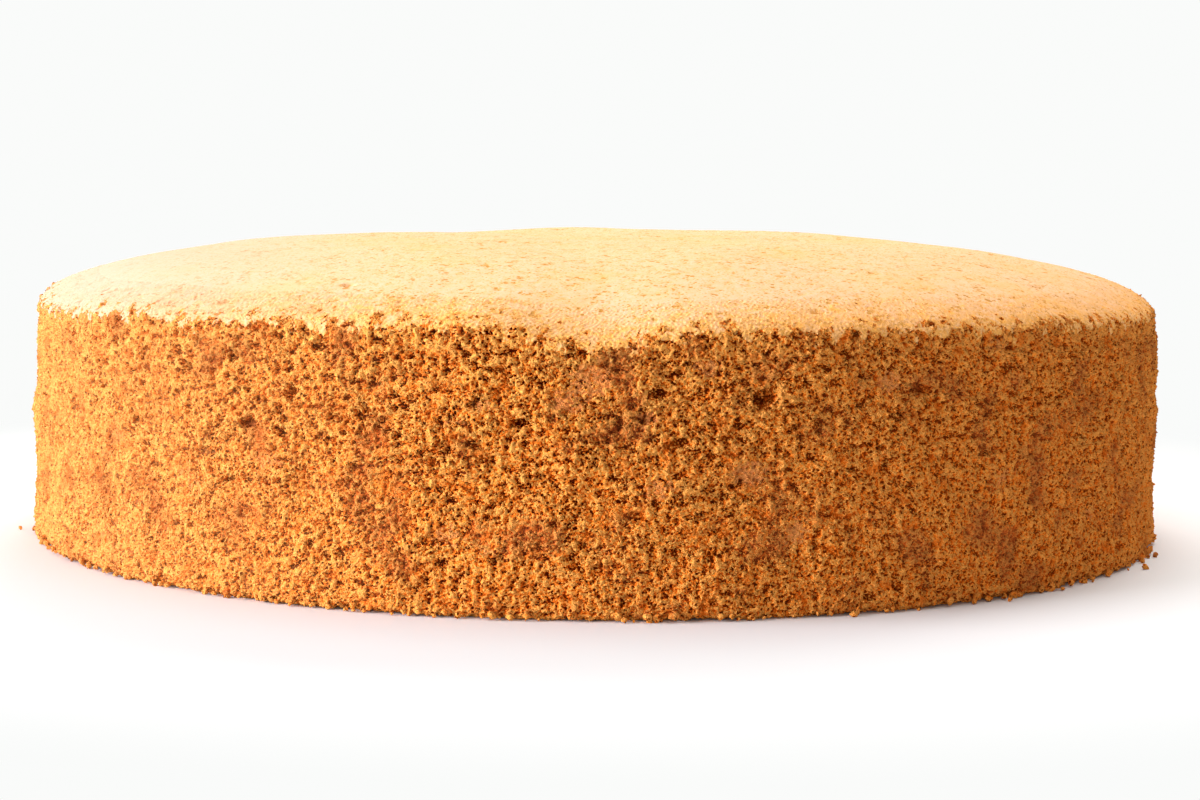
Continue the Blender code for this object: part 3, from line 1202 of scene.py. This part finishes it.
    def build(self) -> list[bpy.types.Object]:
        """Makes the sectors.

        Returns:
            The pieces. The first is centred on the front.
        """
        normals = surface_normals(self.places, wraps=True)
        made = []
        for sector in range(SECTORS):
            first = sector * SECTOR_COLUMNS - SECTOR_COLUMNS // 2
            columns = np.arange(first, first + SECTOR_COLUMNS + 1) % COLUMNS
            name = f"{Piece.SIDE.value}_{sector + 1}"
            grid = FineMesh(name, self.material, len(self.places), len(columns))
            traces = {trace: values[:, columns] for trace, values in self.traces.items()}
            made.append(grid.build(self.places[:, columns], normals[:, columns], traces))
        return made


@dataclass
class TopSkin:
    """The top inside the shoulder: one sheet of skin over the middle of the cake."""

    guide: SolidGuide
    skin: SkinRelief
    material: bpy.types.Material
    side: CrumbSide
    steps: int = 278
    overlap: float = 1.6 * MM
    dip: float = 0.4 * MM

    def build(self) -> bpy.types.Object:
        """Makes the top from a square grid drawn out to a disc.

        Returns:
            The piece.
        """
        join = self.side.top_radius + self.side.tuck
        stretch = (self.side.run_to_edge + self.side.tuck) / join
        across, up = square_to_disc(self.steps + 1)
        x, y = across * (join + self.overlap), up * (join + self.overlap)
        flat = np.hypot(x, y)
        sheet, heights = self.guide.crown()
        middle = sheet.columns // 2
        level = sheet.read(heights, y / sheet.cell + middle, x / sheet.cell + middle)
        places = np.stack([x, y, level], axis=-1)
        relief, tone = self.skin.read(flat * stretch, np.arctan2(x, -y))
        relief = relief + self.side.skin_lift
        relief = relief - self.dip * smooth_step(0.0, 1.0, (flat - join) / self.overlap)
        places = places + surface_normals(places, wraps=False) * relief[..., None]
        traces = {Trace.RELIEF: tone, Trace.SKIN: np.ones_like(tone), Trace.SMEAR: np.zeros_like(tone)}
        grid = FineMesh(Piece.TOP.value, self.material, self.steps + 1, self.steps + 1)
        return grid.build(places, surface_normals(places, wraps=False), traces)


@dataclass
class BaseCrust:
    """The flat base that the cake stands on."""

    material: bpy.types.Material
    reach: float = 0.1055
    steps: int = 60
    tuck: float = 0.4 * MM  # how far the rim is lifted off the table
    rim: float = 1.5 * MM  # over what width
    seed: int = 5

    def build(self) -> bpy.types.Object:
        """Makes the base from a square grid drawn out to a disc, facing down.

        Returns:
            The piece.
        """
        across, up = square_to_disc(self.steps + 1)
        sheet = Sheet(self.steps + 1, self.steps + 1, 2.0 * self.reach / self.steps, self.seed)
        hollow = np.clip(sheet.grain(7.0 * MM, 0.6), 0.0, 2.0) * 0.08 * MM
        edge = np.hypot(across, up) * self.reach
        hollow += self.tuck * smooth_step(0.0, 1.0, (edge - self.reach + self.rim) / self.rim)
        places = np.stack([across * self.reach, up * self.reach, hollow], axis=-1)
        grid = FineMesh(Piece.BASE.value, self.material, self.steps + 1, self.steps + 1)
        return grid.build(places, -surface_normals(places, wraps=False), {}, flip=True)


@dataclass
class Crumbs:
    """Small broken crumbs, clinging to the side or fallen at its foot."""

    material: bpy.types.Material
    seed: int = 17
    ragged: float = 0.22  # how far a crumb's corners stray, as a share of its radius
    squeeze: Range = (0.65, 1.25)
    mottling: float = 0.12
    side_radius: Range = (0.20, 0.38)  # of a crumb on the side, in millimetres
    foot_radius: Range = (0.25, 0.75)  # along the foot
    loose_radius: Range = (0.22, 0.6)  # fallen off
    on_side: Range = (0.14, 0.8)  # the rows of the side that crumbs hang on, as shares of them all
    most_skin: float = 0.1  # crumbs hang where the skin's trace is less than this
    least_relief: float = 0.6  # and the relief's more than this
    loose_turn: float = math.radians(62.0)  # where most crumbs have fallen
    loose_spread: float = 0.22
    loose_gap: Range = (0.3 * MM, 1.8 * MM)  # how far off the cake: the least, and the spread past it

    def heap(self, name: str, spots: list[tuple[Vector, float, float]]) -> bpy.types.Object:
        """Joins many crumbs in one piece.

        Args:
            name: The piece's name.
            spots: Each crumb's middle, radius and tone.

        Returns:
            The piece.
        """
        draw = np.random.default_rng(self.seed)
        heap = bmesh.new()
        tone = heap.verts.layers.float.new(Trace.RELIEF.value)
        for middle, radius, shade in spots:
            angle = draw.uniform(0.0, math.tau)
            turn = Matrix.Rotation(angle, 4, Vector(draw.normal(size=3)).normalized())
            squeeze = Matrix.Diagonal((*draw.uniform(*self.squeeze, 3), 1.0))
            place = Matrix.Translation(middle) @ turn @ squeeze
            made = bmesh.ops.create_uvsphere(heap, u_segments=8, v_segments=5, radius=radius, matrix=place)
            for vert in made["verts"]:
                out = vert.co - middle
                vert.co = middle + out * (1.0 + self.ragged * draw.normal())
                vert[tone] = shade + self.mottling * draw.normal()
        mesh = to_mesh(heap, name)
        mesh.shade_smooth()
        mesh.materials.append(self.material)
        return add_object(name, mesh)

    def clinging(self, side: CrumbSide, count: int = 400, foot: int = 340) -> bpy.types.Object:
        """Crumbs that hang on the torn side, and along its foot.

        Args:
            side: The side that they hang on.
            count: Number of crumbs on the side.
            foot: Number along the foot.

        Returns:
            The crumbs as one piece.
        """
        draw = np.random.default_rng(self.seed + 1)
        normals = surface_normals(side.places, wraps=True)
        relief, skin = side.traces[Trace.RELIEF], side.traces[Trace.SKIN]
        spots = []
        while len(spots) < count:
            row, column = int(draw.uniform(*self.on_side) * len(relief)), int(draw.integers(COLUMNS))
            if skin[row, column] < self.most_skin and relief[row, column] > self.least_relief:
                radius = float(draw.uniform(*self.side_radius)) * MM
                middle = Vector(side.places[row, column] + normals[row, column] * radius * 0.1)
                spots.append((middle, radius, float(draw.uniform(0.55, 1.0))))
        for turn in draw.uniform(0.0, math.tau, foot):
            radius = float(draw.uniform(*self.foot_radius)) * MM
            flat, level = CAKE_RADIUS + draw.normal(-0.2, 0.25) * MM, radius * draw.uniform(0.7, 1.8)
            spots.append((at_turn(turn, flat, level), radius, float(draw.uniform(0.65, 1.05))))
        return self.heap(Piece.CLINGING.value, spots)

    def loose(self, count: int = 14) -> bpy.types.Object:
        """Crumbs that have fallen at the foot, about two in three of them on the right.

        Args:
            count: Number of crumbs.

        Returns:
            The crumbs as one piece.
        """
        draw = np.random.default_rng(self.seed + 2)
        least, past = self.loose_gap
        spots = []
        for index in range(count):
            if index % 3:
                turn = draw.normal(self.loose_turn, self.loose_spread)
            else:
                turn = draw.uniform(0.0, math.tau)
            radius = float(draw.uniform(*self.loose_radius)) * MM
            flat = CAKE_RADIUS + least + abs(draw.normal(0.0, past))
            spots.append((at_turn(turn, flat, radius * 0.75), radius, float(draw.uniform(0.7, 1.1))))
        return self.heap(Piece.LOOSE.value, spots)


# ------------------------------------------------------------------ the studio


class Softbox(Enum):
    """The studio's lights: where each stands, its size, its power in watts and its colour."""

    WINDOW = ((-1.107, -0.403, 0.16), (0.8, 0.8), 42.0, (0.94, 0.91, 1.0))
    SKY = ((0.0, 0.1, 1.3), (1.2, 1.2), 9.5, (1.0, 0.985, 0.96))
    BACK = ((0.3, 1.0, 0.8), (1.2, 0.8), 21.0, (1.0, 0.985, 0.96))
    FRONT = ((0.0, -1.3, 0.15), (0.9, 0.5), 3.0, (1.0, 0.985, 0.96))


@dataclass
class Studio:
    """A plain pale floor, plain soft light and the camera."""

    place: tuple[float, float, float] = (0.0007, -0.5357, 0.0807)  # of the camera
    pitch: float = 6.0  # how far it is tilted down, in degrees
    roll: float = 0.6  # how far it is leant over
    lens: float = 50.0  # its focal length in millimetres, and the width of its sensor
    sensor: float = 22.3
    near: float = 0.01
    aim: Vector = field(default_factory=lambda: Vector((0.0, 0.0, 0.03)))  # of the softboxes
    room_light: float = 0.30
    room_colour: Colour = (0.98, 0.955, 0.91)
    white: Colour = (0.955, 0.965, 0.955)
    floor_radius: float = 12.0
    floor_gap: float = 0.05 * MM
    floor_grey: Colour = (0.80, 0.80, 0.80)
    floor_glow: Range = (0.104, 0.22)  # how far from the middle the glow starts, and is full

    def camera(self) -> None:
        """Sets the camera at the photograph's viewing angle."""
        data = bpy.data.cameras.new("camera")
        data.lens = self.lens
        data.sensor_width = self.sensor
        data.clip_start = self.near
        camera = add_object("camera", data)
        look = Matrix.Rotation(math.radians(90.0 - self.pitch), 4, "X")
        lean = Matrix.Rotation(math.radians(self.roll), 4, "Z")
        camera.matrix_world = Matrix.Translation(self.place) @ look @ lean
        bpy.context.scene.camera = camera

    def floor(self) -> None:
        """Lays the plain pale floor, which glows a little further out so that it has no far edge."""
        ground = bmesh.new()
        bmesh.ops.create_circle(ground, cap_ends=True, radius=self.floor_radius, segments=96)
        bmesh.ops.translate(ground, verts=ground.verts, vec=(0.0, 0.0, -self.floor_gap))
        mesh = to_mesh(ground, "floor")
        material = bpy.data.materials.new("pale_floor")
        bench = Bench(material)
        away = bench.node("VectorMath", {0: bench.place()}, operation="LENGTH").outputs["Value"]
        glow = bench.span(away, *self.floor_glow)
        bench.dress({
            "Base Color": bench.blend(glow, self.floor_grey, BLACK),
            "Roughness": 0.9,
            "Specular IOR Level": 0.0,
            "Emission Color": self.white,
            "Emission Strength": glow,
        })
        mesh.materials.append(material)
        add_object("floor", mesh)

    def softboxes(self) -> None:
        """Hangs the softboxes, all turned to the cake."""
        for box in Softbox:
            where, size, power, colour = box.value
            data = bpy.data.lights.new(box.name.lower(), "AREA")
            data.shape = "RECTANGLE"
            data.size, data.size_y = size
            data.energy = power
            data.color = colour
            light = add_object(box.name.lower(), data)
            light.location = where
            light.rotation_euler = (self.aim - Vector(where)).to_track_quat("-Z", "Y").to_euler()

    def room(self) -> None:
        """Lights the room evenly, and shows it as plain white."""
        world = bpy.data.worlds.new("studio")
        bench = Bench(world)
        lit = bench.tree.nodes["Background"]
        bench.feed(lit.inputs["Color"], self.room_colour)
        bench.feed(lit.inputs["Strength"], self.room_light)
        shown = bench.node("Background", {"Color": self.white})
        seen = bench.node("LightPath", {}).outputs["Is Camera Ray"]
        mix = bench.node("MixShader", {0: seen, 1: lit.outputs[0], 2: shown.outputs[0]})
        bench.feed(bench.tree.nodes["World Output"].inputs["Surface"], mix.outputs[0])
        bpy.context.scene.world = world

    def build(self) -> None:
        """Sets up the whole studio, with the light shown as it falls, without a film curve."""
        for step in (self.camera, self.floor, self.softboxes, self.room):
            step()
        bpy.context.scene.view_settings.view_transform = "Standard"


def finish_piece(piece: bpy.types.Object) -> None:
    """Puts a piece on the cake's body, in place of the plain solid.

    Args:
        piece: The piece.
    """
    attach(piece, BODY)
    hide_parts(NODE)
    log.info("%s: %d faces", piece.name, len(piece.data.polygons))


def main() -> None:
    """Builds the cake and its studio, in order."""
    logging.basicConfig(level=logging.INFO, format="%(name)s: %(message)s")
    Studio().build()
    guide, skin, sponge = SolidGuide(), SkinRelief(), CakeFinish().make()
    side = CrumbSide(guide, skin, sponge)
    for piece in side.build():
        finish_piece(piece)
    finish_piece(TopSkin(guide, skin, sponge, side).build())
    finish_piece(BaseCrust(BaseFinish().make()).build())
    crumbs = Crumbs(sponge)
    finish_piece(crumbs.clinging(side))
    finish_piece(crumbs.loose())


if __name__ == "__main__":
    main()
